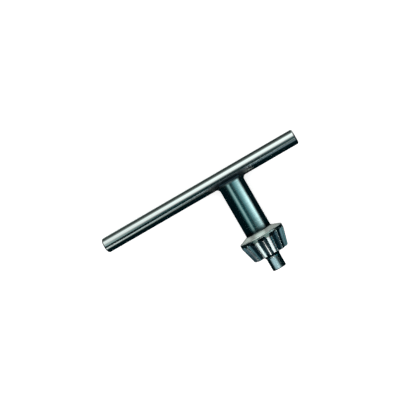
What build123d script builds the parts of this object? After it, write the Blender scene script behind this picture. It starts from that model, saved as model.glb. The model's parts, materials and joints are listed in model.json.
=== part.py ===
"""Drill chuck key: a straight drawn bar welded across the head of a turned
stem that ends in a bevel pinion and a round pilot.

Both pieces are drawn upright first: bar axis along X, stem axis along Z with
the pilot at the high end, the bar axis crossing the stem axis at Z = 0. The
whole key is then tipped over and set down the way it comes to rest, on the
edge of the stem's head, the pinion's rim and the far end of the bar.
"""
from build123d import *
from math import acos, asin, atan2, cos, degrees, hypot, pi, radians, sin, sqrt, tan
import os

# ------------------------------------------------------------------ bar (mm)
bar_d = 7.9            # drawn round bar
bar_len = 110.0        # over both ends
bar_long = 71.1        # stem axis to the far end, -X side
bar_chamfer = 0.6      # both ends, 45 degrees

# ----------------------------------------------------------------- stem (mm)
stem_d = 13.5
top_z = 3.4            # flat end, this far past the bar axis
top_round = 0.25       # edge of that end
weld_r = 1.8           # concave weld between the stem's sides and the bar
bead_r = 0.8           # smaller one along the bar, in front and behind

# --------------------------------------------------------------- pinion (mm)
back_z = 31.6          # stem ends, back cone begins
rim_z = 33.55          # back cone ends at the rim
rim_r = 11.7
land_z = 35.8          # short cylindrical rim ends, tip cone begins
small_z = 44.55        # face at the pinion's small end
apex_z = 78.8          # where tips and roots all meet
back_fillet = 0.3
rim_round = 0.65
tooth_end_chamfer = 0.45

teeth = 11
module = 1.8           # at the large end, plane land_z
press_angle = 20.0
half_tooth = 9.8       # half a tooth at the pitch circle, degrees
root_r = 8.0           # groove floor at the large end
root_fillet = 0.68
wall_z_top = 34.6      # groove's closed end where it breaks the rim
wall_z_root = 36.4     # and where it meets the floor
wall_fillet = 0.6
edge_round = 0.15      # tooth edges, rounded off in finishing

# ---------------------------------------------------------------- pilot (mm)
pilot_d = 7.25
tip_z = 52.7
pilot_fillet = 1.8
pilot_chamfer = 0.3

bar_r, stem_r, pilot_r = bar_d / 2, stem_d / 2, pilot_d / 2
bar_short = bar_len - bar_long


def scale_at(z):
    return (apex_z - z) / (apex_z - land_z)


# ------------------------------------------------------------ bar
bar_round = Rot(45, 0, 0) * Pos((bar_short - bar_long) / 2, 0, 0) * Rot(0, 90, 0) * Cylinder(bar_r, bar_len)
bar = chamfer(bar_round.edges().filter_by(GeomType.CIRCLE), bar_chamfer)

# ------------------------------------------------------------ stem blank
small_r = rim_r * scale_at(small_z)
start_z = -stem_r     # cut back to top_z once the weld is on
outline = [
    (0, start_z), (stem_r, start_z), (stem_r, back_z), (rim_r, rim_z), (rim_r, land_z),
    (small_r, small_z), (pilot_r, small_z), (pilot_r, tip_z), (0, tip_z),
]
section = make_face(Polyline([(x, z) for x, z in outline], close=True))


def corner(shape, x, z):
    return [v for v in shape.vertices() if hypot(v.X - x, v.Y - z) < 0.01]


section = fillet(corner(section, stem_r, back_z), back_fillet)
section = fillet(corner(section, rim_r, rim_z), rim_round)
section = chamfer(corner(section, small_r, small_z), tooth_end_chamfer)
section = fillet(corner(section, pilot_r, small_z), pilot_fillet)
section = chamfer(corner(section, pilot_r, tip_z), pilot_chamfer)
blank = revolve(Plane.XZ * section, Axis.Z, 360)

# ------------------------------------------------------------ head and weld
# The weld is a fillet run round the two loops where the bar enters the stem's
# sides. All of it above the flat end is then cut away, the end's edge is
# rounded, a small bead is laid along the bar in front and behind, and the
# bar's own round comes back out, so the stem ends in a saddle that fits the
# bar face to face.


def on_round(p, a, b, r):
    return abs(hypot(a(p), b(p)) - r) < 2e-3


def on_bar(p):
    return on_round(p, lambda v: v.Y, lambda v: v.Z, bar_r)


def on_stem(p):
    return on_round(p, lambda v: v.X, lambda v: v.Y, stem_r)


joined = blank + bar_round
crossing = [
    e for e in joined.edges()
    if all(on_bar(e @ t) and on_stem(e @ t) for t in (0.2, 0.5, 0.8))
]
joined = fillet(crossing, weld_r)
kept = Pos(0, 0, top_z) * Box(200, 200, 100, align=(Align.CENTER, Align.CENTER, Align.MIN))
joined = joined & kept
end_arcs = [
    e for e in joined.edges()
    if all(on_stem(e @ t) and abs((e @ t).Z - top_z) < 1e-3 for t in (0.1, 0.5, 0.9))
]
joined = fillet(end_arcs, top_round)

bead_z = top_z - bead_r
bead_y = sqrt((bar_r + bead_r) ** 2 - bead_z ** 2)
to_bar = bar_r / (bar_r + bead_r)
foot = Vector(bead_y, top_z)
toe = Vector(bead_y * to_bar, bead_z * to_bar)
half = ((foot - Vector(bead_y, bead_z)) + (toe - Vector(bead_y, bead_z))).normalized()
middle = Vector(bead_y, bead_z) + half * bead_r
bead_face = make_face([
    ThreePointArc(toe, middle, foot),
    Polyline([foot, (bead_y, top_z + 0.5), (0, top_z + 0.5), (0, toe.Y), toe]),
])
bead = extrude(Plane.YZ * bead_face, stem_r, both=True)
bead = bead & (Pos(0, 0, top_z) * Cylinder(stem_r - top_round, 10))
blank = joined + bead + mirror(bead, Plane.XZ) - bar_round

# ------------------------------------------------------------ tooth grooves
# Involute flanks down to the base circle, then straight down to a floor with
# rounded corners. The section shrinks towards the apex.
pitch_r = module * teeth / 2
base_r = pitch_r * cos(radians(press_angle))


def involute(a):
    return tan(a) - a


def flank(r):
    """Half the groove, as an angle in radians, at radius r."""
    tooth = radians(half_tooth) + involute(radians(press_angle))
    if r > base_r:
        tooth -= involute(acos(base_r / r))
    return pi / teeth - tooth


def groove_face(z):
    s = scale_at(z)
    r_out = rim_r * 1.09
    radii = [base_r, (base_r + r_out) * 0.49, r_out]
    pts = [(r * sin(flank(r)), r * cos(flank(r))) for r in radii]
    foot_r = root_r
    foot = (foot_r * sin(flank(base_r)) * 0.97, foot_r)
    right = [foot] + pts
    left = [(-x, y) for x, y in right]
    edges = [
        Line(left[0], right[0]),
        Line(right[0], right[1]),
        ThreePointArc(right[1], right[2], right[3]),
        Line(right[3], left[3]),
        ThreePointArc(left[3], left[2], left[1]),
        Line(left[1], left[0]),
    ]
    face = make_face(edges)
    face = fillet([v for v in face.vertices() if abs(v.Y - foot_r) < 1e-4], root_fillet)
    return Pos(0, 0, z) * scale(face, s)


groove = loft([groove_face(land_z - 3.5), groove_face(small_z + 2.0)], ruled=True)
slope = (wall_z_root - wall_z_top) / (rim_r - root_r)


def wall_at(y):
    return wall_z_top + (rim_r - y) * slope


beyond = Plane.YZ * make_face(
    Polyline([(4, wall_at(4)), (16, wall_at(16)), (16, 60), (4, 60)], close=True)
)
groove = groove & extrude(beyond, 8, both=True)
normal = Vector(0, slope, 1).normalized()
wall = min(groove.faces(), key=lambda f: (f.normal_at() + normal).length)
wall_edges = [e for e in wall.edges() if e.center().Y < rim_r * 1.06]
groove = fillet(wall_edges, wall_fillet)

stem = blank
for i in range(teeth):
    stem = stem - Rot(0, 0, i * 360 / teeth) * groove


def on_outside(p):
    edge_r = rim_r if p.Z < land_z + 1e-6 else rim_r * scale_at(p.Z)
    return abs(hypot(p.X, p.Y) - edge_r) < 2e-3


# Every edge that a groove leaves on the rim or on the tip cone. The turned
# circles and the rim's own seam are not among them.
lips = [
    e for e in stem.edges()
    if e.geom_type != GeomType.LINE
    and on_outside(e @ 0) and on_outside(e @ 1) and on_outside(e @ 0.5)
    and wall_z_top - 0.3 < (e @ 0.5).Z < small_z - 0.1
    and not (abs((e @ 0).Z - (e @ 1).Z) < 1e-3 and abs((e @ 0).Z - (e @ 0.5).Z) < 1e-3
             and (abs((e @ 0).Z - land_z) < 1e-3 or (e @ 0).Z > land_z + 5))
]
stem = fillet(lips, edge_round)

# ------------------------------------------------------------ set down
# The stem is thicker than the bar, so the key lies on three points: the lip
# at the head of the stem, the rim of the pinion, and, because the long side is
# the heavier, the far end of the bar. In the upright frame the ground's inward
# direction is d: both turned edges touch it first, which fixes the tilt, and
# the bar's end then fixes the roll.
cone_run, cone_rise = rim_r - stem_r, rim_z - back_z
cone_len = hypot(cone_run, cone_rise)
ring_r = rim_r - rim_round
ring_z = rim_z + (rim_round * cone_len - rim_round * cone_rise) / cone_run
lip_r, lip_z = stem_r - top_round, top_z + top_round
gap_z, gap_r = ring_z - lip_z, ring_r - lip_r
tilt = acos((top_round - rim_round) / hypot(gap_z, gap_r)) - atan2(gap_z, gap_r)
height = lip_r * cos(tilt) - lip_z * sin(tilt) + top_round
end_x = bar_long - bar_chamfer
roll = asin(height / hypot(end_x, bar_r)) - atan2(bar_r, end_x)
up = Vector(sin(roll), sqrt(1 - sin(roll) ** 2 - sin(tilt) ** 2), sin(tilt))
along = Vector(1, 0, 0) - up * up.X
ground = Plane(origin=up * -height, x_dir=along, z_dir=up)

bar, stem = (ground.location.inverse() * piece for piece in (bar, stem))
box = Compound([bar, stem]).bounding_box()
shift = Pos(-(box.min.X + box.max.X) / 2, -(box.min.Y + box.max.Y) / 2, 0)
bar, stem = shift * bar, shift * stem
print("tilt %.3f deg, roll %.3f deg" % (degrees(tilt), degrees(roll)))

os.makedirs("parts", exist_ok=True)
export_step(bar, "parts/handle_bar.step")
export_step(stem, "parts/pinion_stem.step")
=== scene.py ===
import json
import math
import bpy
from mathutils import Matrix, Vector

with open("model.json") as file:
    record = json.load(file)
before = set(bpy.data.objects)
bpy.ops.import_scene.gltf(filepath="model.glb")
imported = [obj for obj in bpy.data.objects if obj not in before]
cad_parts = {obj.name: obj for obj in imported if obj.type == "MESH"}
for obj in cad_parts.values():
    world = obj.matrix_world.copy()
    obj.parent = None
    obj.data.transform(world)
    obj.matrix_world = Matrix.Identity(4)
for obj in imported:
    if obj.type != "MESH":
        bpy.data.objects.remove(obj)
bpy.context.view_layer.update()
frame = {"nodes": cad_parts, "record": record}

# ------------------------------------------------------------------ the key's own axes
# The key lies tilted: its stem rises towards the pilot and it has rolled onto the far end
# of the bar. The pilot and long-end mounts give the stem's and the bar's directions.
mounts = {m["name"]: m for m in frame["record"]["mounts"]}
stem_dir = Vector(mounts["pilot"]["axis"]).normalized()
bar_dir = -Vector(mounts["handle_long_end"]["axis"]).normalized()
face_dir = stem_dir.cross(bar_dir).normalized()  # square to the T, towards the viewer
bar_pos = Vector(mounts["handle_long_end"]["pos_m"])
pilot_pos = Vector(mounts["pilot"]["pos_m"])
# where the stem's axis crosses the bar's
cross = bar_pos + bar_dir * (pilot_pos - bar_pos).dot(bar_dir)


def at(x, y, z):
    """A point given along the bar, towards the viewer and along the stem, in metres."""
    return cross + bar_dir * x + face_dir * y + stem_dir * z


def way(x, y, z):
    return (bar_dir * x + face_dir * y + stem_dir * z).normalized()


# ------------------------------------------------------------------ materials
def nodes_of(mat):
    mat.use_nodes = True
    nt = mat.node_tree
    nt.nodes.clear()
    return nt


class Net:
    """Short helpers for building node trees."""

    def __init__(self, nt):
        self.nt = nt

    def new(self, kind, **props):
        n = self.nt.nodes.new(kind)
        for k, v in props.items():
            setattr(n, k, v)
        return n

    def link(self, a, b):
        self.nt.links.new(a, b)

    def put(self, sock, v):
        if isinstance(v, (int, float)):
            sock.default_value = v
        elif isinstance(v, (tuple, list, Vector)):
            sock.default_value = tuple(v)
        else:
            self.link(v, sock)

    def math(self, op, a, b=0.0, c=0.0, clamp=False):
        n = self.new("ShaderNodeMath", operation=op, use_clamp=clamp)
        for s, v in zip(n.inputs, (a, b, c)):
            self.put(s, v)
        return n.outputs[0]

    def vmath(self, op, a, b=(0, 0, 0), out=0):
        n = self.new("ShaderNodeVectorMath", operation=op)
        self.put(n.inputs[0], a)
        self.put(n.inputs[1], b)
        return n.outputs[out]

    def dot(self, a, b):
        return self.vmath("DOT_PRODUCT", a, b, out=1)

    def combine(self, x, y, z):
        n = self.new("ShaderNodeCombineXYZ")
        for s, v in zip(n.inputs, (x, y, z)):
            self.put(s, v)
        return n.outputs[0]

    def smooth(self, v, lo, hi, a=0.0, b=1.0):
        n = self.new("ShaderNodeMapRange", interpolation_type="SMOOTHSTEP")
        for s, x in zip(n.inputs, (v, lo, hi, a, b)):
            self.put(s, x)
        return n.outputs[0]

    def mixv(self, f, a, b):
        n = self.new("ShaderNodeMix", data_type="VECTOR")
        self.put(n.inputs["Factor"], f)
        self.put(n.inputs[4], a)
        self.put(n.inputs[5], b)
        return n.outputs[1]

    def scale_v(self, v, f):
        n = self.new("ShaderNodeVectorMath", operation="SCALE")
        self.put(n.inputs[0], v)
        self.put(n.inputs["Scale"], f)
        return n.outputs[0]

    def noise(self, vec, scale, detail=2.0, rough=0.5, out=0, dist=0.0):
        n = self.new("ShaderNodeTexNoise", noise_dimensions="3D")
        self.put(n.inputs["Vector"], vec)
        n.inputs["Scale"].default_value = scale
        n.inputs["Detail"].default_value = detail
        n.inputs["Roughness"].default_value = rough
        n.inputs["Distortion"].default_value = dist
        return n.outputs[out]

    def mixc(self, f, a, b, blend="MIX"):
        n = self.new("ShaderNodeMix", data_type="RGBA", blend_type=blend)
        self.put(n.inputs["Factor"], f)
        for s, v in ((n.inputs[6], a), (n.inputs[7], b)):
            if isinstance(v, tuple) and len(v) == 3:
                v = (*v, 1.0)
            self.put(s, v)
        return n.outputs[2]

    def ramp(self, f, stops):
        n = self.new("ShaderNodeValToRGB")
        self.put(n.inputs[0], f)
        el = n.color_ramp.elements
        while len(el) > 1:
            el.remove(el[-1])
        el[0].position, el[0].color = stops[0][0], (*stops[0][1], 1)
        for p, c in stops[1:]:
            e = el.new(p)
            e.color = (*c, 1)
        return n.outputs[0]


def key_frame(net):
    """Object coordinates turned into the key's own: along bar, to viewer, along stem (m)."""
    tc = net.new("ShaderNodeTexCoord")
    rel = net.vmath("SUBTRACT", tc.outputs["Object"], tuple(cross))
    return (net.dot(rel, tuple(bar_dir)), net.dot(rel, tuple(face_dir)), net.dot(rel, tuple(stem_dir)))


# ------------------------------------------------------------------ colours and sizes, mm
BAR_TINT = (0.80, 0.85, 0.84)
STEM_TINT = (0.70, 0.83, 0.83)
RIM_TINT = (0.80, 0.85, 0.78)
# painted shade: dark for the grooves between the teeth
GROOVE_SHADE = (0.20, 0.32, 0.36)
# painted shade: near black for the joint of bar and stem
JOINT_SHADE = (0.004, 0.026, 0.042)
# painted shade: dark for the stem's foot at the pinion and the pilot's end edge
CORNER_SHADE = (0.020, 0.050, 0.052)
BAR_MID, BAR_HALF = -16.1, 55.0
TEETH, TOOTH_AT = 11, 180.0 / 11

def base_steel(net, name_mat):
    out = net.new("ShaderNodeOutputMaterial")
    bsdf = net.new("ShaderNodeBsdfPrincipled")
    bsdf.inputs["Metallic"].default_value = 1.0
    bsdf.inputs["IOR"].default_value = 2.2
    net.link(bsdf.outputs[0], out.inputs["Surface"])
    return bsdf


def relief(net, bsdf, heights):
    """Bumps laid over one another: (height, strength, depth in metres)."""
    prev = None
    for h, strength, depth in heights:
        bump = net.new("ShaderNodeBump")
        bump.inputs["Strength"].default_value = strength
        bump.inputs["Distance"].default_value = depth
        net.link(h, bump.inputs["Height"])
        if prev is not None:
            net.link(prev, bump.inputs["Normal"])
        prev = bump.outputs[0]
    net.link(prev, bsdf.inputs["Normal"])


# ---- the bar: drawn stock, bright plated, lines along it, turned ends
mat = bpy.data.materials.new("bar_steel")
n = Net(nodes_of(mat))
bsdf = base_steel(n, mat)
x, y, z = key_frame(n)
x, y, z = (n.math("MULTIPLY", v, 1000.0) for v in (x, y, z))  # millimetres
rb = n.math("SQRT", n.math("ADD", n.math("MULTIPLY", y, y), n.math("MULTIPLY", z, z)))
rs = n.math("SQRT", n.math("ADD", n.math("MULTIPLY", x, x), n.math("MULTIPLY", y, y)))
from_mid = n.math("ABSOLUTE", n.math("SUBTRACT", x, BAR_MID))
end_face = n.smooth(from_mid, BAR_HALF - 0.55, BAR_HALF - 0.1)
wear = n.math("MULTIPLY", n.smooth(from_mid, BAR_HALF - 1.3, BAR_HALF - 0.6), n.smooth(rb, 3.0, 3.4))
along = n.combine(n.math("MULTIPLY", x, 0.03), y, z)
round_end = n.combine(n.math("MULTIPLY", rb, 1.0), n.math("MULTIPLY", y, 0.05), n.math("MULTIPLY", z, 0.05))
vec = n.mixv(end_face, along, round_end)
fine = n.noise(vec, 8.0, 3.0, 0.6)
streak = n.noise(vec, 1.9, 3.0, 0.6)
cloud = n.noise(n.combine(n.math("MULTIPLY", x, 0.35), y, z), 0.30, 3.0, 0.55)
nicks = n.smooth(n.noise(n.combine(n.math("MULTIPLY", x, 0.6), y, z), 0.9, 4.0, 0.7), 0.66, 0.74)
shade = n.math("ADD", n.math("MULTIPLY", n.math("SUBTRACT", streak, 0.5), 0.30), n.math("MULTIPLY", n.math("SUBTRACT", cloud, 0.5), 0.30))
col = n.mixc(n.math("ADD", shade, 0.5, clamp=True), tuple(c * 0.86 for c in BAR_TINT), tuple(min(c * 1.12, 0.98) for c in BAR_TINT))
col = n.mixc(n.math("MULTIPLY", nicks, 0.25), col, (0.55, 0.56, 0.54))
col = n.mixc(n.math("MULTIPLY", wear, 0.5), col, (0.88, 0.90, 0.88))
# painted shade: the bar is coloured near black close to the joint, on the stem's side, and is made duller there, with
# less fine relief
joint_dull_and_shade = n.math("MULTIPLY", n.smooth(rs, 7.5, 15.0, 1.0, 0.0), n.smooth(z, -0.3, 1.7))
col = n.mixc(n.math("MULTIPLY", joint_dull_and_shade, 0.94), col, JOINT_SHADE)
n.link(col, bsdf.inputs["Base Color"])
rough = n.math("ADD", 0.135, n.math("MULTIPLY", n.math("SUBTRACT", fine, 0.5), 0.07))
rough = n.math("ADD", rough, n.math("MULTIPLY", n.math("SUBTRACT", cloud, 0.5), 0.07))
rough = n.math("ADD", rough, n.math("MULTIPLY", end_face, 0.16))
rough = n.math("ADD", rough, n.math("MULTIPLY", joint_dull_and_shade, 0.22))
rough = n.math("ADD", rough, n.math("MULTIPLY", nicks, 0.06), clamp=True)
n.link(rough, bsdf.inputs["Roughness"])
keep = n.math("SUBTRACT", 1.0, n.math("MULTIPLY", joint_dull_and_shade, 0.85))
relief(n, bsdf, [(n.math("MULTIPLY", fine, keep), 0.22, 0.000005), (n.math("MULTIPLY", streak, keep), 0.22, 0.000007)])
bar_mat = mat

# ---- the stem: turned, with a milled pinion, bright plated, dull and pitted at the weld, where painted shade darkens it
mat = bpy.data.materials.new("stem_steel")
n = Net(nodes_of(mat))
bsdf = base_steel(n, mat)
x, y, z = key_frame(n)
x, y, z = (n.math("MULTIPLY", v, 1000.0) for v in (x, y, z))
r = n.math("SQRT", n.math("ADD", n.math("MULTIPLY", x, x), n.math("MULTIPLY", y, y)))
ang = n.math("MULTIPLY", n.math("ARCTAN2", x, y), 180.0 / math.pi)
# the tips' cone, and how deep a point lies under it
tip = n.math("SUBTRACT", 11.7, n.math("MULTIPLY", n.math("MAXIMUM", n.math("SUBTRACT", z, 35.8), 0.0), 0.2743))
depth = n.math("SUBTRACT", tip, r)
toothed = n.math("MULTIPLY", n.smooth(z, 33.3, 33.5), n.smooth(z, 44.5, 44.6, 1.0, 0.0))
groove = n.math("MULTIPLY", toothed, n.smooth(depth, 0.12, 0.40))
land = n.math("MULTIPLY", toothed, n.smooth(depth, 0.12, 0.20, 1.0, 0.0))
rim = n.math("MULTIPLY", n.math("MULTIPLY", n.smooth(z, 31.4, 31.8), n.smooth(z, 35.8, 36.3, 1.0, 0.0)), n.smooth(r, 7.0, 7.6))
rim = n.math("MULTIPLY", rim, n.math("SUBTRACT", 1.0, groove))
pitch = 360.0 / TEETH
turn = n.math("SUBTRACT", n.math("WRAP", n.math("SUBTRACT", ang, TOOTH_AT), pitch / 2, -pitch / 2), 0.0)
edge = n.math("MULTIPLY", land, n.smooth(n.math("ABSOLUTE", turn), 7.6, 9.4))
turned = n.combine(n.math("MULTIPLY", x, 0.05), n.math("MULTIPLY", y, 0.05), n.math("ADD", z, n.math("MULTIPLY", r, 0.8)))
milled = n.combine(x, y, n.math("MULTIPLY", z, 0.06))
vec = n.mixv(groove, turned, milled)
fine = n.noise(vec, 8.0, 3.0, 0.6)
streak = n.noise(vec, 1.7, 3.0, 0.6)
cloud = n.noise(n.combine(x, y, n.math("MULTIPLY", z, 0.8)), 0.30, 3.0, 0.55)
nicks = n.smooth(n.noise(n.combine(x, y, z), 0.8, 4.0, 0.7), 0.66, 0.74)
shade = n.math("ADD", n.math("MULTIPLY", n.math("SUBTRACT", streak, 0.5), 0.30), n.math("MULTIPLY", n.math("SUBTRACT", cloud, 0.5), 0.30))
col = n.mixc(rim, STEM_TINT, RIM_TINT)
# painted shade: the grooves between the teeth are coloured dark
col = n.mixc(groove, col, GROOVE_SHADE)
# the groove floors are painted lighter than their walls: less painted shade there, so the floor's reflection of the
# near card shows
above_root = n.math("SUBTRACT", r, n.math("MULTIPLY", n.math("SUBTRACT", 78.8, z), 8.0 / 43.0))
col = n.mixc(n.math("MULTIPLY", groove, n.smooth(above_root, 0.05, 0.30, 1.0, 0.0)), col, (0.62, 0.66, 0.66))
col = n.mixc(n.math("MULTIPLY", edge, 0.6), col, (0.90, 0.93, 0.92))
col = n.mixc(n.math("MULTIPLY", nicks, 0.22), col, (0.45, 0.50, 0.50))
lo_hi = n.math("ADD", 1.0, n.math("MULTIPLY", shade, 0.9))
col = n.scale_v(col, lo_hi)
# painted shade where the stem runs into the pinion's back, and on the pilot's end edge
corner_shade = n.math("MULTIPLY", n.smooth(z, 28.9, 31.3), n.smooth(r, 6.95, 7.7, 1.0, 0.0))
corner_shade = n.math("MULTIPLY", corner_shade, n.smooth(z, 31.9, 32.4, 1.0, 0.0))
col = n.mixc(n.math("MULTIPLY", corner_shade, 0.92), col, CORNER_SHADE)
col = n.mixc(n.math("MULTIPLY", n.smooth(z, 52.25, 52.45), 0.7), col, CORNER_SHADE)
# painted shade: the stem's top under the bar is coloured near black; the weld zone is also made dull and pitted
weld_and_shade = n.smooth(z, 3.1, 4.7, 1.0, 0.0)
col = n.mixc(n.math("MULTIPLY", weld_and_shade, 0.97), col, JOINT_SHADE)
n.link(col, bsdf.inputs["Base Color"])
rough = n.math("ADD", 0.145, n.math("MULTIPLY", n.math("SUBTRACT", fine, 0.5), 0.07))
rough = n.math("ADD", rough, n.math("MULTIPLY", n.math("SUBTRACT", cloud, 0.5), 0.06))
rough = n.math("ADD", rough, n.math("MULTIPLY", rim, 0.07))
rough = n.math("ADD", rough, n.math("MULTIPLY", groove, 0.05))
rough = n.math("ADD", rough, n.math("MULTIPLY", weld_and_shade, 0.34))
rough = n.math("ADD", rough, n.math("MULTIPLY", nicks, 0.06), clamp=True)
n.link(rough, bsdf.inputs["Roughness"])
pits = n.noise(n.combine(x, y, z), 3.0, 4.0, 0.65)
# the back cone is left as turned: its fine torn lines scatter some light
cone = n.math("MULTIPLY", n.math("MULTIPLY", n.smooth(z, 31.5, 31.8), n.smooth(z, 33.4, 33.9, 1.0, 0.0)), n.smooth(r, 6.95, 7.5))
n.link(n.math("SUBTRACT", 1.0, n.math("MULTIPLY", cone, 0.36)), bsdf.inputs["Metallic"])
relief(n, bsdf, [(fine, 0.25, 0.000005), (streak, 0.25, 0.000007), (n.math("MULTIPLY", pits, weld_and_shade), 0.5, 0.00012)])
stem_mat = mat

for node, mat in (("handle_bar", bar_mat), ("pinion_stem", stem_mat)):
    ob = frame["nodes"][node]
    ob.data.materials.clear()
    ob.data.materials.append(mat)

# ------------------------------------------------------------------ floor
floor = bpy.data.objects.new("floor", bpy.data.meshes.new("floor"))
s = 3.0
floor.data.from_pydata([(-s, -s, 0), (s, -s, 0), (s, s, 0), (-s, s, 0)], [], [(0, 1, 2, 3)])
bpy.context.scene.collection.objects.link(floor)
fm = bpy.data.materials.new("floor")
fn = Net(nodes_of(fm))
fo = fn.new("ShaderNodeOutputMaterial")
fb = fn.new("ShaderNodeBsdfPrincipled")
fb.inputs["Base Color"].default_value = (0.86, 0.86, 0.86, 1)
fb.inputs["Roughness"].default_value = 1.0
fb.inputs["Specular IOR Level"].default_value = 0.0
fb.inputs["Emission Color"].default_value = (1, 1, 1, 1)
fb.inputs["Emission Strength"].default_value = 0.55
fn.link(fb.outputs[0], fo.inputs["Surface"])
floor.data.materials.append(fm)
floor.visible_glossy = False

# ------------------------------------------------------------------ studio light
# The key is polished metal, so what it mirrors makes its look. A round tent stands about it,
# dark inside, with soft boxes and cards on it. Only reflections see the tent; the floor is
# lit by the even sky.
HUB = at(0, 0, 0.020)
TENT_R = 0.35
tent = bpy.data.objects.new("light_tent", bpy.data.meshes.new("light_tent"))
verts, faces = [], []
NU, NV = 96, 48
for i in range(1, NV):
    t = math.pi * i / NV
    for k in range(NU):
        p = 2 * math.pi * k / NU
        verts.append(tuple(HUB + Vector((math.sin(t) * math.cos(p), math.sin(t) * math.sin(p), math.cos(t))) * TENT_R))
verts += [tuple(HUB + Vector((0, 0, TENT_R))), tuple(HUB - Vector((0, 0, TENT_R)))]
for i in range(NV - 2):
    for k in range(NU):
        a, b = i * NU + k, i * NU + (k + 1) % NU
        faces.append((a, a + NU, b + NU, b))
for k in range(NU):
    faces.append((len(verts) - 2, k, (k + 1) % NU))
    faces.append((len(verts) - 1, (NV - 2) * NU + (k + 1) % NU, (NV - 2) * NU + k))
tent.data.from_pydata(verts, [], faces)
bpy.context.scene.collection.objects.link(tent)
for flag in ("visible_camera", "visible_diffuse", "visible_shadow", "visible_transmission", "visible_volume_scatter"):
    setattr(tent, flag, False)
tm = bpy.data.materials.new("light_tent")
w = Net(nodes_of(tm))
tm.cycles.emission_sampling = "NONE"
tc = w.new("ShaderNodeTexCoord")
d = w.vmath("NORMALIZE", w.vmath("SUBTRACT", tc.outputs["Object"], tuple(HUB)))
dx, dy, dz = w.dot(d, tuple(bar_dir)), w.dot(d, tuple(face_dir)), w.dot(d, tuple(stem_dir))
deg = 180 / math.pi
phi = w.math("MULTIPLY", w.math("ARCTAN2", dx, dy), deg)  # round the stem, 0 above, + to the short end
under = w.math("MULTIPLY", w.math("ARCTAN2", w.math("MULTIPLY", dx, -1.0), w.math("MULTIPLY", dy, -1.0)), deg)  # the same, 0 below
psi = w.math("MULTIPLY", w.math("ARCTAN2", w.math("MULTIPLY", dz, -1.0), dy), deg)  # round the bar, + away from the pilot
lat = w.math("MULTIPLY", w.math("ARCSINE", dz), deg)  # + towards the pilot
lon = w.math("MULTIPLY", w.math("ARCSINE", dx), deg)  # + towards the short end


def card(a, a0, a1, sa0, sa1, b, b0, b1, sb0, sb1, col):
    """A soft-edged card: a range of each of two angles, the softness of its edges, its light."""
    f = w.math("MULTIPLY", w.smooth(a, a0 - sa0, a0 + sa0), w.smooth(a, a1 - sa1, a1 + sa1, 1.0, 0.0))
    g = w.math("MULTIPLY", w.smooth(b, b0 - sb0, b0 + sb0), w.smooth(b, b1 - sb1, b1 + sb1, 1.0, 0.0))
    return w.scale_v(col, w.math("MULTIPLY", f, g))


cards = [
    # the large box overhead, on the bar's far side, and its dim surround
    card(psi, 20.6, 70, 15, 11, lon, -38, 19, 36, 15, (1.07, 1.13, 1.11)),
    card(psi, 50, 108, 4, 20, lon, -66, 52, 6, 7, (0.080, 0.095, 0.085)),
    # its wing to the right, for the pinion's back edge
    card(lon, 14, 40, 9, 7, psi, 46, 72, 7, 8, (0.85, 0.90, 0.87)),
    # dim boards low behind the bar, brighter to either side
    card(under, -40, 32, 8, 8, lat, -42, -14, 5, 7, (0.13, 0.15, 0.145)),
    card(under, 4, 32, 5, 8, lat, -42, -16, 5, 7, (0.20, 0.23, 0.22)),
    card(phi, 100, 150, 6, 6, lat, -62, -22, 6, 5, (0.28, 0.31, 0.31)),
    card(phi, -150, -100, 6, 6, lat, -48, -24, 6, 5, (0.12, 0.14, 0.135)),
    # to the right of the stem: a long soft ramp and the box at its end
    card(phi, 9, 68, 15, 8, lat, -8, 4.1, 3, 0.4, (0.13, 0.29, 0.31)),
    card(phi, 42, 72, 26, 14, lat, -3, 4.1, 3, 0.4, (1.10, 1.30, 1.27)),
    # a slim board to the left, and the dim front
    card(phi, -37, -20.5, 11, 6, lat, -14, 4.2, 5, 0.4, (0.36, 0.46, 0.44)),
    card(phi, -49, -5, 9.5, 11, lat, -3.3, 4.2, 1.5, 0.8, (0.010, 0.085, 0.092)),
    # boards beyond the pilot
    card(phi, -42, -16, 3, 13, lat, 37, 50, 3, 11, (0.50, 0.55, 0.51)),
    card(phi, -0.5, 20, 5, 8, lat, 38, 50, 3, 14, (0.20, 0.28, 0.32)),
    card(phi, -44.5, -29, 3, 2.5, lat, 33.3, 37.5, 1.0, 1.5, (1.70, 1.72, 1.70)),
    card(phi, 22, 35.3, 2, 1.6, lat, 33.8, 38.5, 1.2, 1.5, (1.75, 1.66, 1.66)),
    card(phi, 8, 42, 7, 8, lat, 13, 21.5, 3, 1.4, (0.52, 0.66, 0.64)),
    card(phi, -44, -26, 3, 4, lat, 21.2, 24, 0.7, 1.5, (0.26, 0.34, 0.36)),
    card(phi, 36, 82, 8, 8, lat, 20, 27, 2, 2, (0.05, 0.30, 0.36)),
    card(phi, -82, -50, 8, 5, lat, 20, 27, 2, 2, (0.05, 0.18, 0.21)),
    card(phi, -112, -101, 4, 3, lat, 19, 30, 4, 4, (0.18, 0.20, 0.22)),
]
total = cards[0]
for c in cards[1:]:
    total = w.vmath("ADD", total, c)
total = w.vmath("ADD", total, (0.0, 0.0055, 0.0075))
em = w.new("ShaderNodeEmission")
w.link(total, em.inputs["Color"])
em.inputs["Strength"].default_value = 1.0
to = w.new("ShaderNodeOutputMaterial")
w.link(em.outputs[0], to.inputs["Surface"])
tent.data.materials.append(tm)


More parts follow.
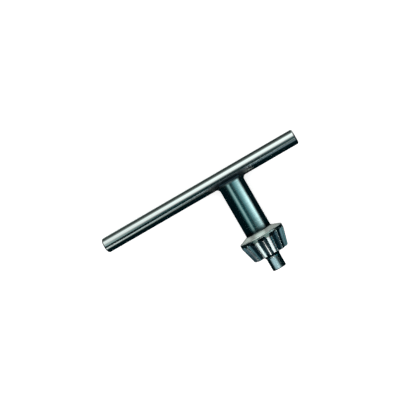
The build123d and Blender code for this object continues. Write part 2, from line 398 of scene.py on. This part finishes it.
def close_card(name, verts, faces, colour_of):
    """A card near the key that only reflections see; its light is added to the tent's."""
    ob = bpy.data.objects.new(name, bpy.data.meshes.new(name))
    ob.data.from_pydata([tuple(p) for p in verts], [], faces)
    bpy.context.scene.collection.objects.link(ob)
    for flag in ("visible_camera", "visible_diffuse", "visible_shadow", "visible_transmission", "visible_volume_scatter"):
        setattr(ob, flag, False)
    mat = bpy.data.materials.new(name)
    net = Net(nodes_of(mat))
    mat.cycles.emission_sampling = "NONE"
    emit = net.new("ShaderNodeEmission")
    net.link(colour_of(net), emit.inputs["Color"])
    clear = net.new("ShaderNodeBsdfTransparent")
    add = net.new("ShaderNodeAddShader")
    net.link(clear.outputs[0], add.inputs[0])
    net.link(emit.outputs[0], add.inputs[1])
    mo = net.new("ShaderNodeOutputMaterial")
    net.link(add.outputs[0], mo.inputs["Surface"])
    ob.data.materials.append(mat)


# A small card over the pinion, mirrored by the floor of the groove that faces the viewer.
def small_light(net):
    nx, _, nz = key_frame(net)
    g = net.math("MULTIPLY", net.smooth(nx, -0.010, -0.006), net.smooth(nx, 0.001, 0.005, 1.0, 0.0))
    g = net.math("MULTIPLY", g, net.smooth(nz, 0.0555, 0.0635))
    g = net.math("MULTIPLY", g, net.smooth(nz, 0.069, 0.072, 1.0, 0.0))
    return net.scale_v((3.4, 3.3, 3.2), g)


close_card("near_card", [at(-0.011, 0.050, 0.054), at(0.006, 0.050, 0.054), at(0.006, 0.050, 0.073), at(-0.011, 0.050, 0.073)],
           [(0, 1, 2, 3)], small_light)

# A shelf bent round the pinion and the pilot: one strip for the rim, one for the pilot.
SHELF_R = 0.092
steps = 48
ring = []
for i in range(steps + 1):
    p = math.radians(-92 + 150 * i / steps)
    ring += [at(SHELF_R * math.sin(p), SHELF_R * math.cos(p), z) for z in (0.0350, 0.0640)]


def strip(net, p, p0, p1, s0, s1, h, h0, h1, t0, t1, colour):
    g = net.math("MULTIPLY", net.smooth(p, p0 - s0, p0 + s0), net.smooth(p, p1 - s1, p1 + s1, 1.0, 0.0))
    k = net.math("MULTIPLY", net.smooth(h, h0 - t0, h0 + t0), net.smooth(h, h1 - t1, h1 + t1, 1.0, 0.0))
    return net.scale_v(colour, net.math("MULTIPLY", g, k))


def shelf_light(net):
    sx, sy, sz = key_frame(net)
    p = net.math("MULTIPLY", net.math("ARCTAN2", sx, sy), 180 / math.pi)
    h = net.math("MULTIPLY", sz, 1000.0)
    a = strip(net, p, -58, 23, 22, 15, h, 52.6, 61.3, 1.0, 0.9, (0.62, 0.82, 0.88))
    b = strip(net, p, -37, 29, 4, 3, h, 37.8, 41.8, 0.8, 1.0, (0.13, 0.16, 0.14))
    c = strip(net, p, 0, 28, 12, 4, h, 37.8, 41.8, 0.8, 1.0, (0.22, 0.23, 0.20))
    return net.vmath("ADD", net.vmath("ADD", a, b), c)


close_card("shelf", ring, [(2 * i, 2 * i + 2, 2 * i + 3, 2 * i + 1) for i in range(steps)], shelf_light)

world = bpy.data.worlds.new("studio")
bpy.context.scene.world = world
world.use_nodes = True
world.node_tree.nodes.clear()
w = Net(world.node_tree)
sky = w.new("ShaderNodeBackground")
sky.inputs["Color"].default_value = (1, 1, 1, 1)
pale = w.new("ShaderNodeBackground")
pale.inputs["Color"].default_value = (0.95, 0.95, 0.95, 1)
lp = w.new("ShaderNodeLightPath")
mx = w.new("ShaderNodeMixShader")
w.link(lp.outputs["Is Camera Ray"], mx.inputs[0])
w.link(sky.outputs[0], mx.inputs[1])
w.link(pale.outputs[0], mx.inputs[2])
wo = w.new("ShaderNodeOutputWorld")
w.link(mx.outputs[0], wo.inputs["Surface"])

# ------------------------------------------------------------------ camera
# The viewpoint in the key's axes, with the picture's right and down directions there.
cam_at = at(0.029989, 0.427853, 0.010631)
right = way(0.860405, -0.103812, 0.498925)
down = way(-0.497443, 0.041567, 0.8665)
down = (down - right * down.dot(right)).normalized()
ahead = right.cross(down)
cam = bpy.data.objects.new("camera", bpy.data.cameras.new("camera"))
cam.data.sensor_width = 36.0
cam.data.lens = 862.758 * 36.0 / 400.0
cam.data.clip_start = 0.01
cam.data.clip_end = 20.0
m = Matrix.Identity(4)
for i in range(3):
    m[i][0], m[i][1], m[i][2], m[i][3] = right[i], -down[i], -ahead[i], cam_at[i]
cam.matrix_world = m
bpy.context.scene.collection.objects.link(cam)
bpy.context.scene.camera = cam

bpy.context.scene.view_settings.view_transform = "Standard"
bpy.context.scene.view_settings.look = "None"
